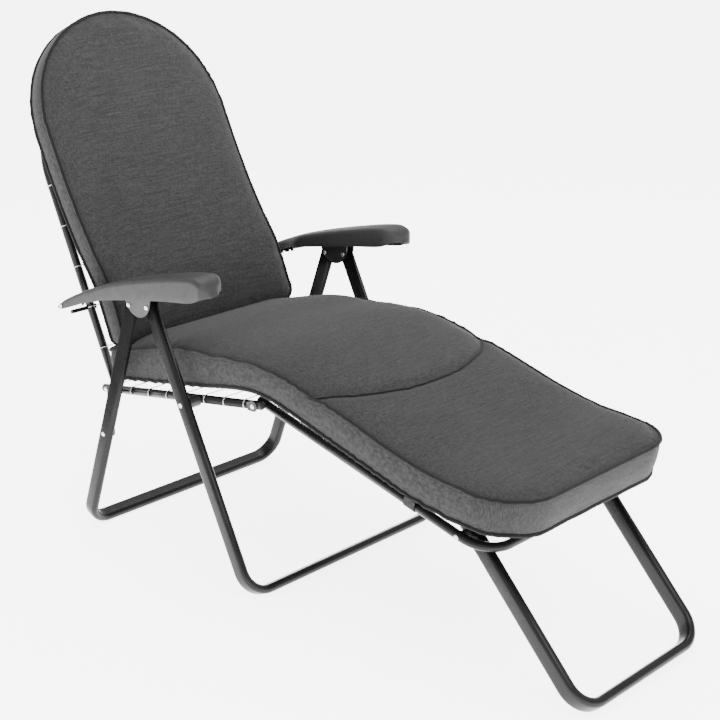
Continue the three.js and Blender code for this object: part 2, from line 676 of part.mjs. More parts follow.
footrestFrame();
net(footrest, 'footrest_net', {
  halfWidth: netHalfWidth - 12, from: footNetEnd, to: -30, hookReach: innerTubeX, columns: 5, rows: 6,
});
footrestCushion();
const footLegOuterX = footLegX + footLegTube.thickness / 2;
const footLegInnerX = footLegX - footLegTube.thickness / 2;
for (const [name, side] of sides) {
  cushionStrap(side, name);
  spacer(footrest, `footrest_leg_spacer_${name}`, side, footLegOuterX, innerTubeInnerX, 7, -footLegPivot, 0,
    blackPlastic);
  rivet(footrest, `footrest_leg_rivet_${name}`, side, footLegInnerX, innerTubeOuterX, -footLegPivot);
}

// ---- Footrest leg -------------------------------------------------------------------------------
const footPivotHeight = hingeHeight - footLegPivot * Math.sin(radians(footrestSlope));
const footDrop = (footPivotHeight - crossbarHeight(footLegTube, footLegLean)) / Math.cos(radians(footLegLean));
const footrestLegs = member(footrest, -footLegPivot, 0, 90 - footLegLean - footrestSlope);
legFrame(footrestLegs, 'footrest_leg_frame', footLegTube, footLegX, footDrop, 0, [[0, 0]]);

// ---- Place the chair ----------------------------------------------------------------------------
chair.updateMatrixWorld(true);
const bounds = new THREE.Box3().setFromObject(chair, true);
const middle = bounds.getCenter(new THREE.Vector3());
chair.position.set(-middle.x, -middle.y, -bounds.min.z);

export default chair;
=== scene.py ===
"""Folding recliner chair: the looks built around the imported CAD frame.

Metres. +X is the sitter's left, +Y the rear and +Z up. A member is a tube, pad or plate that turns
about a pivot: its points are given as (x, along the member, square to the member)."""

import json
from math import atan2, cos, hypot, pi, radians, sin, sqrt

import bmesh
import bpy
import numpy as np
from mathutils import Matrix, Vector
from mathutils.bvhtree import BVHTree


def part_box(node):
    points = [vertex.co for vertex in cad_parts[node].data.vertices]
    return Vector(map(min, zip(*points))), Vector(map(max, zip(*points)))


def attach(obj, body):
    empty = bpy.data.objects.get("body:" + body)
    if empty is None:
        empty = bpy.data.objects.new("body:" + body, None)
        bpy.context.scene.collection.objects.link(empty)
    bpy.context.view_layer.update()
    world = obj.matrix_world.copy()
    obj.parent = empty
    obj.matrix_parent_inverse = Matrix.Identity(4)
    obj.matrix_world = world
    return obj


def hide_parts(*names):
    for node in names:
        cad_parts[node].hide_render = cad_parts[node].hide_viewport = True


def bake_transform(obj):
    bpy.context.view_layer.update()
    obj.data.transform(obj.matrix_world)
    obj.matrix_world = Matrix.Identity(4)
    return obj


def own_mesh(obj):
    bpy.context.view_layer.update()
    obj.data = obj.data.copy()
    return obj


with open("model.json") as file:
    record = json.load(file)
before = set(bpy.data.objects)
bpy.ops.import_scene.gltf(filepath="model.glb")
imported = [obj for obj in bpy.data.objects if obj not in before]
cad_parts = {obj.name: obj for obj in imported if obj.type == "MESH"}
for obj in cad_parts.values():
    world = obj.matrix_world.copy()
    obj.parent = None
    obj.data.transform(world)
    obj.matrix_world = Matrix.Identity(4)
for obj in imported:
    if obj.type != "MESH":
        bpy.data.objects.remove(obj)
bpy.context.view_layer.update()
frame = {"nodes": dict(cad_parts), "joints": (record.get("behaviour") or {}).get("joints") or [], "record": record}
MM = 0.001


# ---- Members, read from the frame's joints -------------------------------------------------------
PIVOTS = {joint["name"]: Vector(joint["pos_m"]) for joint in frame["joints"]}
HINGE = PIVOTS["footrest_fold"]
BACK_HINGE = PIVOTS["recline"]
SEAT_PIVOT = PIVOTS["leg_fold"]
ARM_PIVOT = PIVOTS["armrest_left_tilt"]
REAR_PIVOT = PIVOTS["rear_leg_fold"]
FOOT_PIVOT = PIVOTS["footrest_leg_fold"]


class Member:
    """A frame in the side view: an origin, a direction along it and the direction square to it."""

    def __init__(self, origin, angle):
        self.origin = Vector((0, origin[1], origin[2]))
        self.along = Vector((0, cos(angle), sin(angle)))
        self.square = Vector((0, -sin(angle), cos(angle)))

    def point(self, x, along, square=0.0):
        return self.origin + Vector((x, 0, 0)) + self.along * along + self.square * square


def angle_between(start, end):
    return atan2(end.z - start.z, end.y - start.y)


SEAT_ANGLE = angle_between(HINGE, BACK_HINGE)
FOOT_ANGLE = angle_between(FOOT_PIVOT, HINGE)
BACK_ANGLE = radians(66.4)
FRONT_LEG_ANGLE = angle_between(SEAT_PIVOT, ARM_PIVOT)
REAR_LEG_ANGLE = radians(90 + 22)
FOOT_LEG_ANGLE = radians(90 - 42.6)
SEAT = Member(HINGE, SEAT_ANGLE)
FOOT = Member(HINGE, FOOT_ANGLE)
BACK = Member(BACK_HINGE, BACK_ANGLE)
FRONT_LEGS = Member(SEAT_PIVOT, FRONT_LEG_ANGLE)
REAR_LEGS = Member(REAR_PIVOT, REAR_LEG_ANGLE)
FOOT_LEGS = Member(FOOT_PIVOT, FOOT_LEG_ANGLE)
SEAT_LENGTH = (BACK_HINGE - HINGE).length

# Tubes, as in the CAD frame
TUBE_RADIUS = 9 * MM
LEG_DEPTH = 35 * MM
FOOT_LEG_DEPTH = 38 * MM
LEG_BEND = 52 * MM
FOOT_FRAME_BEND = 60 * MM
FOOT_FRAME_LENGTH = 592 * MM
BACK_FRAME_LENGTH = 690 * MM
OVERRUN = 12 * MM                 # tube past each hinge
LEG_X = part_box("front_leg_frame")[1][0] - TUBE_RADIUS
RAIL_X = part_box("seat_rail_left")[1][0] - TUBE_RADIUS
INNER_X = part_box("back_frame")[1][0] - TUBE_RADIUS
FOOT_LEG_HALF = 9.5 * MM
FOOT_LEG_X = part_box("footrest_leg_frame")[1][0] - FOOT_LEG_HALF
PAD_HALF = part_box("seat_cushion")[1][0]


# ---- Camera ---------------------------------------------------------------------------------------
def add_camera():
    """Stands in front of the chair, to the sitter's right and a little above."""
    azimuth, elevation, roll = radians(-45.34), radians(19.304), radians(-0.994)
    right = Vector((cos(azimuth), sin(azimuth), 0))
    forward = Vector((-sin(azimuth) * cos(elevation), cos(azimuth) * cos(elevation), -sin(elevation)))
    up = right.cross(forward)
    rolled_right = right * cos(roll) + up * sin(roll)
    rolled_up = up * cos(roll) - right * sin(roll)
    data = bpy.data.cameras.new("camera")
    data.lens = 74.98
    data.sensor_width = 36
    data.shift_x = -0.0070
    data.shift_y = 0.0213
    camera = bpy.data.objects.new("camera", data)
    turn = Matrix((rolled_right, rolled_up, -forward)).transposed().to_4x4()
    front_bar_y = SEAT_PIVOT.y - 0.183
    camera.matrix_world = Matrix.Translation(Vector((-2.0492, -2.0823 + front_bar_y, 1.4405))) @ turn
    bpy.context.scene.collection.objects.link(camera)
    bpy.context.scene.camera = camera


# ---- Materials ------------------------------------------------------------------------------------
def new_material(name):
    material = bpy.data.materials.new(name)
    material.use_nodes = True
    nodes = material.node_tree.nodes
    links = material.node_tree.links
    shader = nodes["Principled BSDF"]
    place = nodes.new("ShaderNodeTexCoord").outputs["Object"]
    return material, nodes, links, shader, place


def add_noise(nodes, links, place, scale, detail=3.0, stretch=None):
    if stretch:
        mapping = nodes.new("ShaderNodeMapping")
        mapping.inputs["Scale"].default_value = stretch
        links.new(place, mapping.inputs["Vector"])
        place = mapping.outputs["Vector"]
    noise = nodes.new("ShaderNodeTexNoise")
    noise.inputs["Scale"].default_value = scale
    noise.inputs["Detail"].default_value = detail
    links.new(place, noise.inputs["Vector"])
    return noise.outputs["Fac"]


def add_ramp(nodes, links, value, stops):
    ramp = nodes.new("ShaderNodeValToRGB")
    elements = ramp.color_ramp.elements
    while len(elements) < len(stops):
        elements.new(0.5)
    for element, (position, colour) in zip(elements, stops):
        element.position = position
        element.color = (*colour, 1)
    links.new(value, ramp.inputs["Fac"])
    return ramp.outputs["Color"]


def add_bump(nodes, links, height, shader, strength, distance):
    bump = nodes.new("ShaderNodeBump")
    bump.inputs["Strength"].default_value = strength
    bump.inputs["Distance"].default_value = distance
    links.new(height, bump.inputs["Height"])
    links.new(bump.outputs["Normal"], shader.inputs["Normal"])


def coated(name, dark, light, roughness, grain, bump_depth, metallic=0.0, specular=0.3):
    """A painted, moulded or plated surface: mottled colour and roughness over a fine grain."""
    material, nodes, links, shader, place = new_material(name)
    mottle = add_noise(nodes, links, place, 14)
    colour = add_ramp(nodes, links, mottle, [(0.3, (dark,) * 3), (0.7, (light,) * 3)])
    links.new(colour, shader.inputs["Base Color"])
    rough = add_ramp(nodes, links, add_noise(nodes, links, place, 60),
                     [(0.3, (roughness - 0.05,) * 3), (0.7, (roughness + 0.06,) * 3)])
    links.new(rough, shader.inputs["Roughness"])
    shader.inputs["Metallic"].default_value = metallic
    shader.inputs["Specular IOR Level"].default_value = specular
    add_bump(nodes, links, add_noise(nodes, links, place, grain), shader, 0.35, bump_depth)
    return material


def math_node(nodes, links, operation, a, b):
    node = nodes.new("ShaderNodeMath")
    node.operation = operation
    for socket, value in zip(node.inputs, (a, b)):
        if isinstance(value, (int, float)):
            socket.default_value = value
        else:
            links.new(value, socket)
    return node.outputs[0]


def woven(name, dark, light, slub_strength):
    """A slubbed melange weave: thick and thin yarns run across and along the pad."""
    material, nodes, links, shader, place = new_material(name)
    across = add_noise(nodes, links, place, 1, 4, stretch=(110, 1500, 1500))
    along = add_noise(nodes, links, place, 1, 4, stretch=(1500, 110, 110))
    long_slubs = add_noise(nodes, links, place, 1, 2, stretch=(16, 700, 700))
    yarns = math_node(nodes, links, "ADD", across, along)
    slubs = math_node(nodes, links, "MULTIPLY", long_slubs, slub_strength)
    mixed = math_node(nodes, links, "MULTIPLY", math_node(nodes, links, "ADD", yarns, slubs), 0.5)
    cloudy = add_noise(nodes, links, place, 9, 2)
    value = math_node(nodes, links, "ADD", mixed, math_node(nodes, links, "MULTIPLY", cloudy, 0.06))
    middle = 0.5 + slub_strength * 0.25 + 0.03
    colour = add_ramp(nodes, links, value, [(middle - 0.11, (dark,) * 3), (middle + 0.11, (light,) * 3)])
    links.new(colour, shader.inputs["Base Color"])
    shader.inputs["Roughness"].default_value = 0.92
    shader.inputs["Sheen Weight"].default_value = 0.08
    shader.inputs["Sheen Roughness"].default_value = 0.5
    shader.inputs["Specular IOR Level"].default_value = 0.12
    add_bump(nodes, links, mixed, shader, 0.5, 0.0009)
    return material


FRAME_PAINT = coated("anthracite_powder_coat", 0.004, 0.007, 0.28, 900, 0.00012, specular=0.16)
ARM_PLASTIC = coated("armrest_plastic", 0.016, 0.020, 0.50, 1500, 0.00015, specular=0.2)
BRACKET_PAINT = coated("bracket_paint", 0.010, 0.014, 0.42, 1200, 0.0001)
BLACK_PLASTIC = coated("black_plastic", 0.010, 0.016, 0.45, 1200, 0.0001)
ZINC = coated("zinc_plate", 0.50, 0.62, 0.30, 500, 0.00008, metallic=0.9)
PAD_FABRIC = woven("pad_fabric", 0.010, 0.034, 0.7)
PIPING_FABRIC = woven("piping_fabric", 0.003, 0.008, 0.3)


def paint_cad_nodes():
    """Gives each CAD node that still shows its finish, by the record's material slot."""
    by_slot = {
        "frame_steel": FRAME_PAINT, "bracket_steel": BRACKET_PAINT, "armrest_plastic": ARM_PLASTIC,
        "black_plastic": BLACK_PLASTIC, "zinc_steel": ZINC, "pad_fabric": PAD_FABRIC,
    }
    for part in frame["record"]["subparts"]:
        node = frame["nodes"][part["node"]]
        node.data.materials.clear()
        node.data.materials.append(by_slot[part["material_slot"]])


# ---- Mesh building --------------------------------------------------------------------------------
def shade_smooth(mesh):
    mesh.polygons.foreach_set("use_smooth", [True] * len(mesh.polygons))


def new_piece(name, points, faces, material):
    mesh = bpy.data.meshes.new(name)
    mesh.from_pydata([tuple(p) for p in points], [], faces)
    mesh.update()
    piece = bpy.data.objects.new(name, mesh)
    bpy.context.scene.collection.objects.link(piece)
    mesh.materials.append(material)
    shade_smooth(mesh)
    return piece


def placed(piece, body, slot, *nodes):
    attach(piece, body)
    if nodes:
        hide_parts(*nodes)
    return piece


def sweep(name, path, normal, section, material):
    """A solid bar of a section, given as (along the fixed normal, across it), along an open flat path."""
    count, rings = len(section), len(path)
    points = []
    for i, point in enumerate(path):
        before = path[max(i - 1, 0)]
        after = path[min(i + 1, rings - 1)]
        tangent = (after - before).normalized()
        side = tangent.cross(normal).normalized()
        points += [point + normal * a + side * b for a, b in section]
    faces = []
    for i in range(rings - 1):
        a, b = i * count, (i + 1) * count
        for k in range(count):
            n = (k + 1) % count
            faces.append((a + k, a + n, b + n, b + k))
    faces.append(tuple(range(count))[::-1])
    faces.append(tuple((rings - 1) * count + k for k in range(count)))
    return new_piece(name, points, faces, material)


def oval_section(depth, thickness, per_end=14):
    """A flat oval: depth along the path's normal, round noses, flat faces."""
    half = (depth - thickness) / 2
    radius = thickness / 2
    section = []
    for centre, start in ((half, -pi / 2), (-half, pi / 2)):
        for i in range(per_end + 1):
            turn = start + pi * i / per_end
            section.append((centre + radius * cos(turn), radius * sin(turn)))
    return section


def round_section(radius, count=28):
    return [(radius * cos(2 * pi * i / count), radius * sin(2 * pi * i / count)) for i in range(count)]


def bent_path(member, corners, bend, steps=20):
    """Straight runs joined by round bends, in a member's plane; corners are (x, along)."""
    path = [member.point(*corners[0])]
    for before, corner, after in zip(corners, corners[1:], corners[2:]):
        b, c, a = (Vector(p) for p in (before, corner, after))
        into, out = (c - b).normalized(), (a - c).normalized()
        turn = into.angle(out)
        setback = bend * sqrt((1 - cos(turn)) / (1 + cos(turn)))
        inward = (out - into * into.dot(out)).normalized()
        centre = c - into * setback + inward * bend
        for i in range(steps + 1):
            angle = turn * i / steps
            spot = centre - inward * bend * cos(angle) + into * bend * sin(angle)
            path.append(member.point(spot.x, spot.y))
    path.append(member.point(*corners[-1]))
    return path


def crossbar_drop(pivot, angle, depth, thickness):
    """From a leg's pivot down to the middle of the crossbar that stands on the floor."""
    rise = (depth - thickness) / 2 * abs(cos(angle)) + thickness / 2
    return (pivot.z - rise) / sin(angle)


def leg_frame(name, member, angle, half_width, depth, thickness, rise, body, node):
    drop = crossbar_drop(member.origin, angle, depth, thickness)
    top = rise + depth / 2 - 2 * MM
    corners = [(-half_width, top), (-half_width, -drop), (half_width, -drop), (half_width, top)]
    path = bent_path(member, corners, LEG_BEND)
    tube = sweep(name, path, member.square, oval_section(depth, thickness), FRAME_PAINT)
    return placed(tube, body, "frame_steel", node)


def add_tubes():
    arm_rise = (ARM_PIVOT - SEAT_PIVOT).length
    leg_frame("front_legs_tube", FRONT_LEGS, FRONT_LEG_ANGLE, LEG_X, LEG_DEPTH, 2 * TUBE_RADIUS, arm_rise,
              "front_legs", "front_leg_frame")
    leg_frame("rear_legs_tube", REAR_LEGS, REAR_LEG_ANGLE, LEG_X, LEG_DEPTH, 2 * TUBE_RADIUS, 0,
              "rear_legs", "rear_leg_frame")
    leg_frame("footrest_legs_tube", FOOT_LEGS, FOOT_LEG_ANGLE, FOOT_LEG_X, FOOT_LEG_DEPTH,
              2 * FOOT_LEG_HALF, 0, "footrest_legs", "footrest_leg_frame")
    ring = round_section(TUBE_RADIUS)
    for side, sign in (("left", 1), ("right", -1)):
        x = sign * RAIL_X
        path = [SEAT.point(x, -OVERRUN), SEAT.point(x, SEAT_LENGTH + OVERRUN)]
        rail = sweep(f"seat_rail_tube_{side}", path, SEAT.square, ring, FRAME_PAINT)
        placed(rail, "seat", "frame_steel", f"seat_rail_{side}")
    front = -FOOT_FRAME_LENGTH
    corners = [(-INNER_X, OVERRUN), (-INNER_X, front), (INNER_X, front), (INNER_X, OVERRUN)]
    path = bent_path(FOOT, corners, FOOT_FRAME_BEND)
    tube = sweep("footrest_tube", path, FOOT.square, ring, FRAME_PAINT)
    placed(tube, "footrest", "frame_steel", "footrest_frame")
    top = BACK_FRAME_LENGTH
    corners = [(-INNER_X, -OVERRUN), (-INNER_X, top), (INNER_X, top), (INNER_X, -OVERRUN)]
    path = bent_path(BACK, corners, INNER_X - 2 * MM, 40)
    tube = sweep("back_tube", path, BACK.square, ring, FRAME_PAINT)
    placed(tube, "back", "frame_steel", "back_frame")


# ---- Armrests ---------------------------------------------------------------------------------------
# Outlines in metres from the front armrest pivot: (distance behind it, height or distance out).
ARM_FRONT = -0.194
ARM_LENGTH = 0.498
ARM_TOP = [(-0.194, 0.060), (-0.188, 0.076), (-0.175, 0.086), (-0.152, 0.090), (-0.061, 0.074),
           (0.093, 0.037), (0.205, -0.002), (0.290, -0.040), (0.304, -0.052)]
ARM_BOTTOM = [(-0.194, 0.054), (-0.15, 0.040), (-0.056, 0.026), (0.125, -0.007), (0.209, -0.030),
              (0.290, -0.058), (0.304, -0.058)]
ARM_INNER = [(-0.194, 0.262), (-0.180, 0.243), (-0.160, 0.233), (0.10, 0.232), (0.17, 0.250),
             (0.25, 0.257), (0.304, 0.259)]
ARM_OUTER = 0.300
ARM_NOSE = -0.180                 # in front of it the outer side tapers in
ARM_WALL = 3.5 * MM
ARM_STEPS = 60
ARM_CROWN = 1.5 * MM
CORNER_STEPS = 6


def armrest_section(y):
    """The armrest's section at y, from the outer lower edge over the rounded top to the inner one."""
    inner = smooth_profile(ARM_INNER, y)
    outer = ARM_OUTER - max(0.0, (ARM_NOSE - y) * 1.4)
    top, bottom = smooth_profile(ARM_TOP, y), smooth_profile(ARM_BOTTOM, y)
    radius = min(11 * MM, (top - bottom) * 0.6, (outer - inner) * 0.4)
    section = [(outer, bottom), (outer - 0.3 * MM, (bottom + top - radius) / 2)]
    for centre, start in ((outer - radius, 0), (inner + radius, pi / 2)):
        for k in range(CORNER_STEPS + 1):
            turn = start + pi / 2 * k / CORNER_STEPS
            section.append((centre + radius * cos(turn), top - radius + radius * sin(turn)))
        if start == 0:
            section.append(((inner + outer) / 2, top + ARM_CROWN))
    inner_bottom = bottom + min(9 * MM, (top - bottom) * 0.3)
    section += [(inner + 0.3 * MM, (inner_bottom + top - radius) / 2), (inner, inner_bottom)]
    return section


def armrest(side, sign):
    """A hollow moulding with a rounded top, open underneath."""
    stations = [ARM_FRONT + ARM_LENGTH * (1 - cos(pi * i / ARM_STEPS)) / 2 for i in range(ARM_STEPS + 1)]
    sections = [armrest_section(y) for y in stations]
    row = len(sections[0])
    points = [Vector((sign * x, ARM_PIVOT.y + y, ARM_PIVOT.z + z))
              for y, section in zip(stations, sections) for x, z in section]
    faces = []
    for i in range(ARM_STEPS):
        a, b = i * row, (i + 1) * row
        for k in range(row - 1):
            faces.append((a + k, a + k + 1, b + k + 1, b + k))
    for i in (0, ARM_STEPS):
        faces.append(tuple(i * row + k for k in range(row)))
    piece = new_piece(f"armrest_shell_{side}", points, faces, ARM_PLASTIC)
    clean(piece)
    shell = piece.modifiers.new("wall", "SOLIDIFY")
    shell.thickness = ARM_WALL
    shell.offset = -1
    edge = piece.modifiers.new("edge", "BEVEL")
    edge.width = 1.0 * MM
    edge.segments = 2
    edge.limit_method = "ANGLE"
    placed(piece, f"armrest_{side}", "armrest_plastic", f"armrest_{side}")


def add_armrests():
    armrest("left", 1)
    armrest("right", -1)


# ---- Wire nets -------------------------------------------------------------------------------------
def wire_net(name, member, start, end, reach, hooks, wrap, body, node):
    """Round wires that hook over the tubes by the wrap angle, in place of the flat grille."""
    wire = 1.1 * MM               # radius
    lift = TUBE_RADIUS + wire
    cross = lift + 2 * wire
    hook_steps, lengthways = 8, 8
    points, faces = [], []
    ring = round_section(wire, 8)
    half = INNER_X - 24 * MM

    def strand(path, normal):
        piece = sweep("strand", path, normal, ring, ZINC)
        base = len(points)
        points.extend([v.co.copy() for v in piece.data.vertices])
        faces.extend([tuple(base + i for i in p.vertices) for p in piece.data.polygons])
        bpy.data.objects.remove(piece, do_unlink=True)

    for i in range(hooks):
        at = start + (end - start) * i / (hooks - 1)
        path = []
        for step in range(hook_steps + 1):
            turn = wrap * (1 - step / hook_steps)
            path.append(member.point(-reach - lift * sin(turn), at, lift * cos(turn)))
        path += [Vector((-p.x, p.y, p.z)) for p in reversed(path)]
        strand(path, member.along)
    for i in range(lengthways + 1):
        x = -half + 2 * half * i / lengthways
        strand([member.point(x, start, cross), member.point(x, end, cross)], member.square)
    return placed(new_piece(name, points, faces, ZINC), body, "zinc_steel", node)


def add_nets():
    over, on_top = radians(130), radians(10)
    wire_net("seat_wires", SEAT, 30 * MM, 468 * MM, RAIL_X, 8, over, "seat", "seat_net")
    wire_net("back_wires", BACK, 90 * MM, 462 * MM, INNER_X, 5, over, "back", "back_net")
    wire_net("footrest_wires", FOOT, -430 * MM, -40 * MM, INNER_X, 7, on_top, "footrest", "footrest_net")


# ---- Pads -------------------------------------------------------------------------------------------
def smooth_profile(stops, value):
    """A smooth curve through (position, height) stops, with flat tangents at the ends."""
    xs = [s[0] for s in stops]
    ys = [s[1] for s in stops]
    if value <= xs[0]:
        return ys[0]
    if value >= xs[-1]:
        return ys[-1]
    i = max(k for k in range(len(xs) - 1) if xs[k] <= value)
    slopes = []
    for k in (i, i + 1):
        if k in (0, len(xs) - 1):
            slopes.append(0.0)
        else:
            slopes.append((ys[k + 1] - ys[k - 1]) / (xs[k + 1] - xs[k - 1]))
    width = xs[i + 1] - xs[i]
    t = (value - xs[i]) / width
    return (ys[i] * (2 * t ** 3 - 3 * t ** 2 + 1) + slopes[0] * width * (t ** 3 - 2 * t ** 2 + t)
            + ys[i + 1] * (3 * t ** 2 - 2 * t ** 3) + slopes[1] * width * (t ** 3 - t ** 2))


def falloff(value):
    """1 at zero, dying away as the value grows."""
    return 2.718 ** -value


def both_halves(half, spacing):
    """A closed outline from its +X half, which starts and ends on the middle line, spaced evenly."""
    points = [Vector(p) for p in half]
    lengths = [0.0]
    for before, after in zip(points, points[1:]):
        lengths.append(lengths[-1] + (after - before).length)
    count = round(lengths[-1] / spacing)
    places = np.linspace(0, lengths[-1], count + 1)
    xs = np.interp(places, lengths, [p.x for p in points])
    ys = np.interp(places, lengths, [p.y for p in points])
    right = [Vector((float(x), float(y))) for x, y in zip(xs, ys)]
    left = [Vector((-p.x, p.y)) for p in reversed(right[1:-1])]
    return right + left


class Pad:
    """A pad with an outline in its own plane. place(x, s, n) gives a point, top(s) and bottom(s) the
    heights of its edges, and crown(x, s) says how far the middle stands above the edges."""
    SHARES = [i / 26 for i in range(27)]
    BOXING_ROWS = 9

    def __init__(self, name, half, axis, place, top, bottom, crown, seams=None):
        self.name = name
        self.outline = both_halves(half, 9 * MM)
        self.flat = np.array([(p.x, p.y) for p in self.outline])
        self.axis = axis
        self.place = place
        self.top = top
        self.bottom = bottom
        self.crown = crown
        self.seams = seams or (lambda x, s: 0.0)

    def inner(self, point, share):
        """Moves an outline point towards the pad's middle line."""
        target = Vector((0, min(max(point.y, self.axis[0]), self.axis[1])))
        return point.lerp(target, share)

    def dome(self, x, s):
        """0 at the edge, rising fast and then levelling off towards the middle."""
        depth = np.sqrt(((self.flat - (x, s)) ** 2).sum(axis=1).min())
        return 1 - falloff(depth / (60 * MM))

    def top_height(self, x, s):
        return self.top(s) + self.crown(x, s) * self.dome(x, s) - self.seams(x, s)

    def outward(self, i):
        """The outline's own outward direction at point i."""
        before, after = self.outline[i - 1], self.outline[(i + 1) % len(self.outline)]
        along = (after - before).normalized()
        return Vector((along.y, -along.x))

    def rings(self):
        """Rings of (x, s, n): the underside from its middle, the boxing, and the top to its middle."""
        rings = []
        for share in reversed(self.SHARES):
            inner = [self.inner(p, share) for p in self.outline]
            rings.append([(q.x, q.y, self.bottom(q.y) - 4 * MM * self.dome(q.x, q.y)) for q in inner])
        for k in range(1, self.BOXING_ROWS):
            t = k / self.BOXING_ROWS
            bulge = 4.0 * MM * sin(pi * t)
            ring = []
            for i, p in enumerate(self.outline):
                q = p + self.outward(i) * bulge
                ring.append((q.x, q.y, self.bottom(p.y) * (1 - t) + self.top(p.y) * t))
            rings.append(ring)
        for share in self.SHARES:
            inner = [self.inner(p, share) for p in self.outline]
            rings.append([(q.x, q.y, self.top_height(q.x, q.y)) for q in inner])
        return rings

    def build(self, material):
        rings = self.rings()
        count = len(self.outline)
        points = [self.place(*p) for ring in rings for p in ring]
        faces = []
        for i in range(len(rings) - 1):
            for k in range(count):
                n = (k + 1) % count
                faces.append((i * count + k, i * count + n, (i + 1) * count + n, (i + 1) * count + k))
        piece = new_piece(self.name, points, faces, material)
        clean(piece)
        return piece

    def edge(self, heights):
        """The line along the pad's edge at the given heights, for the piping."""
        return [self.place(p.x, p.y, heights(p.y)) for p in self.outline]


def clean(piece):
    mesh = bmesh.new()
    mesh.from_mesh(piece.data)
    bmesh.ops.remove_doubles(mesh, verts=mesh.verts, dist=0.0005)
    bmesh.ops.recalc_face_normals(mesh, faces=mesh.faces)
    mesh.to_mesh(piece.data)
    mesh.free()
    shade_smooth(piece.data)


def piping(name, line, radius=4.0 * MM):
    """A corded edge that follows a closed line in space."""
    count, around = len(line), 10
    points, faces = [], []
    for i, point in enumerate(line):
        tangent = (line[(i + 1) % count] - line[i - 1]).normalized()
        first = tangent.cross(Vector((0.02, -0.5, 1))).normalized()
        second = tangent.cross(first).normalized()
        for k in range(around):
            turn = 2 * pi * k / around
            points.append(point + first * radius * cos(turn) + second * radius * sin(turn))
    for i in range(count):
        a, b = i * around, ((i + 1) % count) * around
        for k in range(around):
            n = (k + 1) % around
            faces.append((a + k, a + n, b + n, b + k))
    piece = new_piece(name, points, faces, PIPING_FABRIC)
    clean(piece)
    return piece


# The back pad: s runs up the back from the hinge, n is square to it, to the front.
BACK_TOP = 809 * MM
BACK_HALF = 246 * MM
BACK_FRONT = [(0.06, 0.128), (0.10, 0.130), (0.215, 0.131), (0.30, 0.114), (0.38, 0.103),
              (0.49, 0.096), (0.81, 0.094)]
BACK_THICKNESS = 52 * MM


def back_pad():
    low, corner = 72 * MM, 18 * MM
    centre = BACK_TOP - BACK_HALF
    half = [(0, low), (BACK_HALF - corner, low), (BACK_HALF, low + corner)]
    steps = 36
    for i in range(steps + 1):
        turn = pi / 2 * i / steps
        half.append((BACK_HALF * cos(turn), centre + BACK_HALF * sin(turn)))

    def top(s):
        return smooth_profile(BACK_FRONT, s)

    return Pad("back_pad", half, (low + 160 * MM, centre), BACK.point, top,
               lambda s: top(s) - BACK_THICKNESS, lambda x, s: 10 * MM)


# The seat and footrest pad: s runs forward from the crease, over the knee and down the footrest.
PAD_REAR = 470 * MM
PAD_FRONT = 655 * MM
KNEE = 90 * MM
TOP_EDGE = [(-0.47, 0.088), (-0.38, 0.092), (-0.215, 0.104), (-0.105, 0.095), (-0.03, 0.091), (0.06, 0.094),
            (0.20, 0.097), (0.36, 0.091), (0.46, 0.095), (0.56, 0.113), (0.66, 0.132)]
BOTTOM_EDGE = [(-0.47, 0.022), (-0.215, 0.024), (-0.05, 0.030), (0.06, 0.034), (0.20, 0.030), (0.40, 0.024),
               (0.47, 0.028), (0.56, 0.042), (0.66, 0.056)]
LINE_STEP = 2 * MM


def knee_line():
    """The seat line and the footrest line, joined by a smooth turn at the hinge: (y, z, angle)."""
    line = {}
    for direction in (1, -1):
        place = Vector((HINGE.y, HINGE.z - 3 * MM))
        i = 0
        while i * LINE_STEP <= PAD_REAR + PAD_FRONT:
            s = direction * i * LINE_STEP
            t = min(max((s + KNEE) / (2 * KNEE), 0), 1)
            t = t * t * (3 - 2 * t)
            angle = SEAT_ANGLE * (1 - t) + FOOT_ANGLE * t
            line[direction * i] = (place.copy(), angle)
            place = place - Vector((cos(angle), sin(angle))) * LINE_STEP * direction
            i += 1
    return line


KNEE_LINE = knee_line()


def on_knee_line(x, s, n):
    i = int(s // LINE_STEP)
    t = s / LINE_STEP - i
    (p0, a0), (p1, a1) = KNEE_LINE[i], KNEE_LINE[i + 1]
    place, angle = p0.lerp(p1, t), a0 * (1 - t) + a1 * t
    return Vector((x, place.x - sin(angle) * n, place.y + cos(angle) * n))


KNEE_SEAM = {"half": 256 * MM, "base": 104 * MM, "reach": 136 * MM}


def knee_arc(x):
    """Where the sewn arc below the knee crosses the footrest, at x."""
    share = min(abs(x) / KNEE_SEAM["half"], 1)
    return KNEE_SEAM["base"] + KNEE_SEAM["reach"] * sqrt(1 - share * share)


def past_knee_arc(x, s):
    """Distance past the sewn arc, square to it."""
    share = min(abs(x) / KNEE_SEAM["half"], 0.98)
    slope = KNEE_SEAM["reach"] / KNEE_SEAM["half"] * share / sqrt(1 - share * share)
    return (s - knee_arc(x)) / hypot(1, slope)


def knee_groove(x, s):
    return 8 * MM * falloff((past_knee_arc(x, s) / (9 * MM)) ** 2)


def seat_crown(x, s):
    """The thigh part is stuffed higher than the leg part in front of the arc."""
    past = past_knee_arc(x, s)
    blend = 1 / (1 + falloff(past / (12 * MM)))
    return 20 * MM * (1 - blend) + 10 * MM * blend


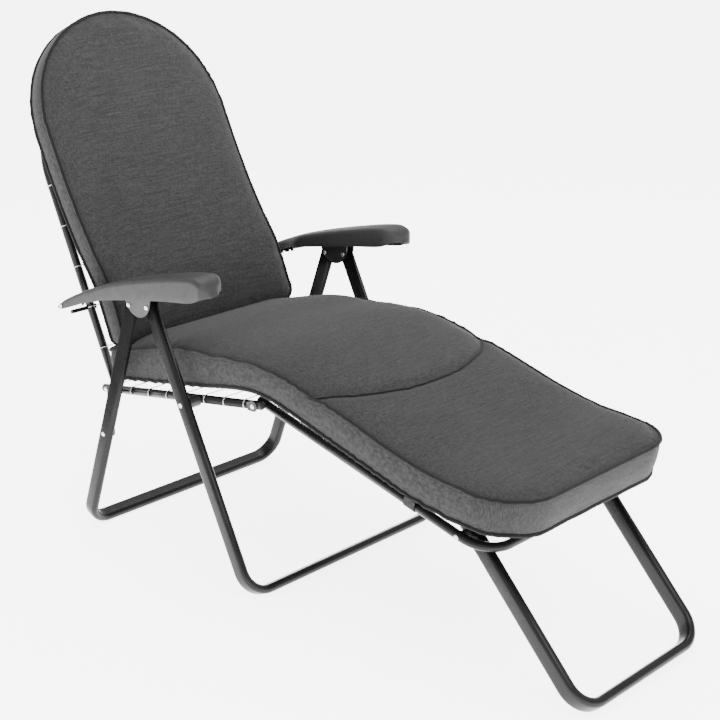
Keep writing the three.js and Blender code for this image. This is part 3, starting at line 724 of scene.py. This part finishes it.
def seat_pad():
    half, corner, rear_corner = PAD_HALF - 2 * MM, 100 * MM, 20 * MM
    outline = [(0, -PAD_REAR)]
    for cx, cs, radius, start in (
            (half - rear_corner, -PAD_REAR + rear_corner, rear_corner, -pi / 2),
            (half - corner, PAD_FRONT - corner, corner, 0)):
        for i in range(17):
            turn = start + pi / 2 * i / 16
            outline.append((cx + radius * cos(turn), cs + radius * sin(turn)))
    outline.append((0, PAD_FRONT))
    return Pad("seat_pad", outline, (-PAD_REAR + 210 * MM, PAD_FRONT - 210 * MM), on_knee_line,
               lambda s: smooth_profile(TOP_EDGE, s), lambda s: smooth_profile(BOTTOM_EDGE, s),
               seat_crown, knee_groove)


def onto_surface(line, piece, out):
    """Moves each point of a line onto a stuffed pad's surface, and a little out of it."""
    mesh = piece.data
    tree = BVHTree.FromPolygons([v.co for v in mesh.vertices], [tuple(p.vertices) for p in mesh.polygons])
    moved = []
    for point in line:
        spot, normal, _, _ = tree.find_nearest(point)
        moved.append(spot + normal * out)
    return moved


def knee_cord(pad, piece):
    """The thin cord sewn along the arc below the knee."""
    reach = KNEE_SEAM["half"] - 8 * MM
    path = []
    for i in range(81):
        x = reach * sin(pi / 2 * (i / 40 - 1))
        s = knee_arc(x)
        path.append(pad.place(x, s, pad.top_height(x, s)))
    path = onto_surface(path, piece, 1.2 * MM)
    upwards = Vector((0, -0.24, 0.97)).normalized()      # square to the footrest
    return sweep("knee_seam_cord", path, upwards, round_section(2.2 * MM, 10), PIPING_FABRIC)


STUFFING_VOXEL = 6 * MM
STUFFING_FRAMES = 20
STUFFING_REACH = 5 * MM           # the most a point may move
PIPING_OUT = 1.0 * MM             # the cord's middle above the fabric


def stuff(piece):
    """Blows a pad up as cloth and holds each point within reach of where it started."""
    remesh = piece.modifiers.new("remesh", "REMESH")
    remesh.mode = "VOXEL"
    remesh.voxel_size = STUFFING_VOXEL
    bpy.context.view_layer.objects.active = piece
    bpy.ops.object.modifier_apply(modifier=remesh.name)
    start = [v.co.copy() for v in piece.data.vertices]
    cloth = piece.modifiers.new("cloth", "CLOTH")
    cloth.settings.use_pressure = True
    cloth.settings.uniform_pressure_force = 4
    cloth.settings.effector_weights.gravity = 0
    cloth.settings.quality = 6
    cloth.settings.mass = 0.3
    cloth.settings.tension_stiffness = 15
    cloth.settings.bending_stiffness = 0.6
    scene = bpy.context.scene
    cloth.point_cache.frame_start = 1
    cloth.point_cache.frame_end = STUFFING_FRAMES
    for number in range(1, STUFFING_FRAMES + 1):
        scene.frame_set(number)
    result = piece.evaluated_get(bpy.context.evaluated_depsgraph_get())
    moved = [v.co.copy() for v in result.data.vertices]
    piece.modifiers.remove(cloth)
    for vertex, old, new in zip(piece.data.vertices, start, moved):
        shift = new - old
        if shift.length > STUFFING_REACH:
            shift = shift.normalized() * STUFFING_REACH
        vertex.co = old + shift
    scene.frame_set(1)
    shade_smooth(piece.data)
    smooth = piece.modifiers.new("smooth", "SUBSURF")
    smooth.levels = 1
    smooth.render_levels = 1


def edge_piping(name, pad, heights, piece):
    return piping(name, onto_surface(pad.edge(heights), piece, PIPING_OUT))


def add_pads():
    seat = seat_pad()
    seat_piece = seat.build(PAD_FABRIC)
    back = back_pad()
    back_piece = back.build(PAD_FABRIC)
    stuff(seat_piece)
    stuff(back_piece)
    seat_cords = [
        edge_piping("seat_piping_top", seat, seat.top, seat_piece),
        edge_piping("seat_piping_bottom", seat, seat.bottom, seat_piece),
        knee_cord(seat, seat_piece),
    ]
    for piece in [seat_piece, *seat_cords]:
        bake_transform(piece)
    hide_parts("seat_cushion", "footrest_cushion")
    back_cords = [
        edge_piping("back_piping_front", back, back.top, back_piece),
        edge_piping("back_piping_rear", back, back.bottom, back_piece),
    ]
    for piece in [back_piece, *back_cords]:
        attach(piece, "back")
        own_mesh(piece)
    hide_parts("back_cushion")


# ---- Stage ------------------------------------------------------------------------------------------
def add_stage():
    """A wide, bright floor that fills the view."""
    reach, cells = 40.0, 8
    points = [(reach * (2 * i / cells - 1), reach * (2 * j / cells - 1), 0.0)
              for j in range(cells + 1) for i in range(cells + 1)]
    row = cells + 1
    faces = [(j * row + i, j * row + i + 1, (j + 1) * row + i + 1, (j + 1) * row + i)
             for j in range(cells) for i in range(cells)]
    material, nodes, links, shader, place = new_material("studio_floor")
    mottle = add_noise(nodes, links, place, 0.6)
    colour = add_ramp(nodes, links, mottle, [(0.3, (0.93,) * 3), (0.7, (0.95,) * 3)])
    links.new(colour, shader.inputs["Base Color"])
    shader.inputs["Roughness"].default_value = 0.9
    shader.inputs["Emission Color"].default_value = (1, 1, 1, 1)
    shader.inputs["Emission Strength"].default_value = 5.0
    new_piece("floor", points, faces, material)


def area_light(name, place, target, size, power):
    data = bpy.data.lights.new(name, "AREA")
    data.energy = power
    data.size = size
    light = bpy.data.objects.new(name, data)
    light.location = place
    light.rotation_euler = (Vector(target) - Vector(place)).to_track_quat("-Z", "Y").to_euler()
    bpy.context.scene.collection.objects.link(light)


def add_lights():
    target = (0, 0, 0.5)
    area_light("key", (-1.0, -2.6, 3.2), target, 2.2, 110)
    area_light("fill", (-3.4, 0.4, 1.8), target, 2.6, 15)
    area_light("top", (0.6, 0.8, 3.6), target, 3.0, 110)
    world = bpy.data.worlds.new("studio")
    world.use_nodes = True
    background = world.node_tree.nodes["Background"]
    background.inputs["Color"].default_value = (1, 1, 1, 1)
    background.inputs["Strength"].default_value = 1.5
    bpy.context.scene.world = world


add_camera()
paint_cad_nodes()
add_tubes()
add_armrests()
add_nets()
add_pads()
add_stage()
add_lights()
bpy.context.view_layer.update()
